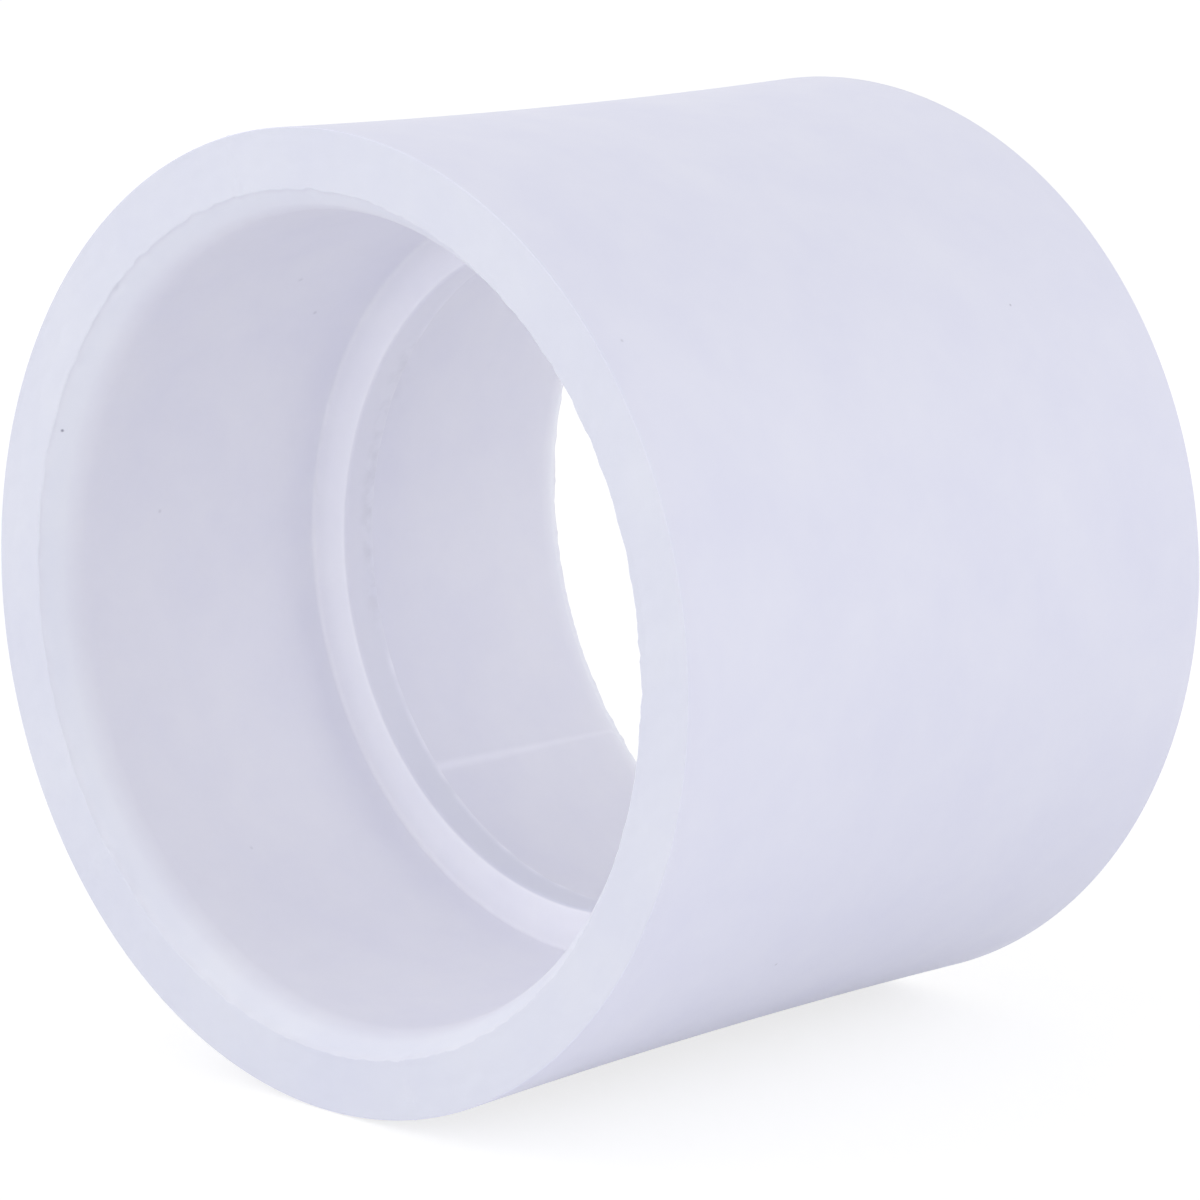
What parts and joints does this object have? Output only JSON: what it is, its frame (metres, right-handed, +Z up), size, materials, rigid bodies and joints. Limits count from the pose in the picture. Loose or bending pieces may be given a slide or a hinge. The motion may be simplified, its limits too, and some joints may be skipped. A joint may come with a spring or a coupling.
{
  "type": "pipe coupling",
  "caption": "Straight white PVC drain pipe coupling: a short plain barrel, open right through, with a tapered pipe socket in each end and a stop ring between them.",
  "frame": {"origin": "on the surface the coupling lies on, straight under the middle of its stop ring", "axes": "+Y along the bore from the front socket to the rear socket, +Z up"},
  "size_m": [0.0512, 0.0402, 0.0512],
  "materials": {
    "white_pvc": "satin as moulded, cool white"
  },
  "bodies": {
    "root": {"coupling_body": "white_pvc"}
  },
  "joints": []
}
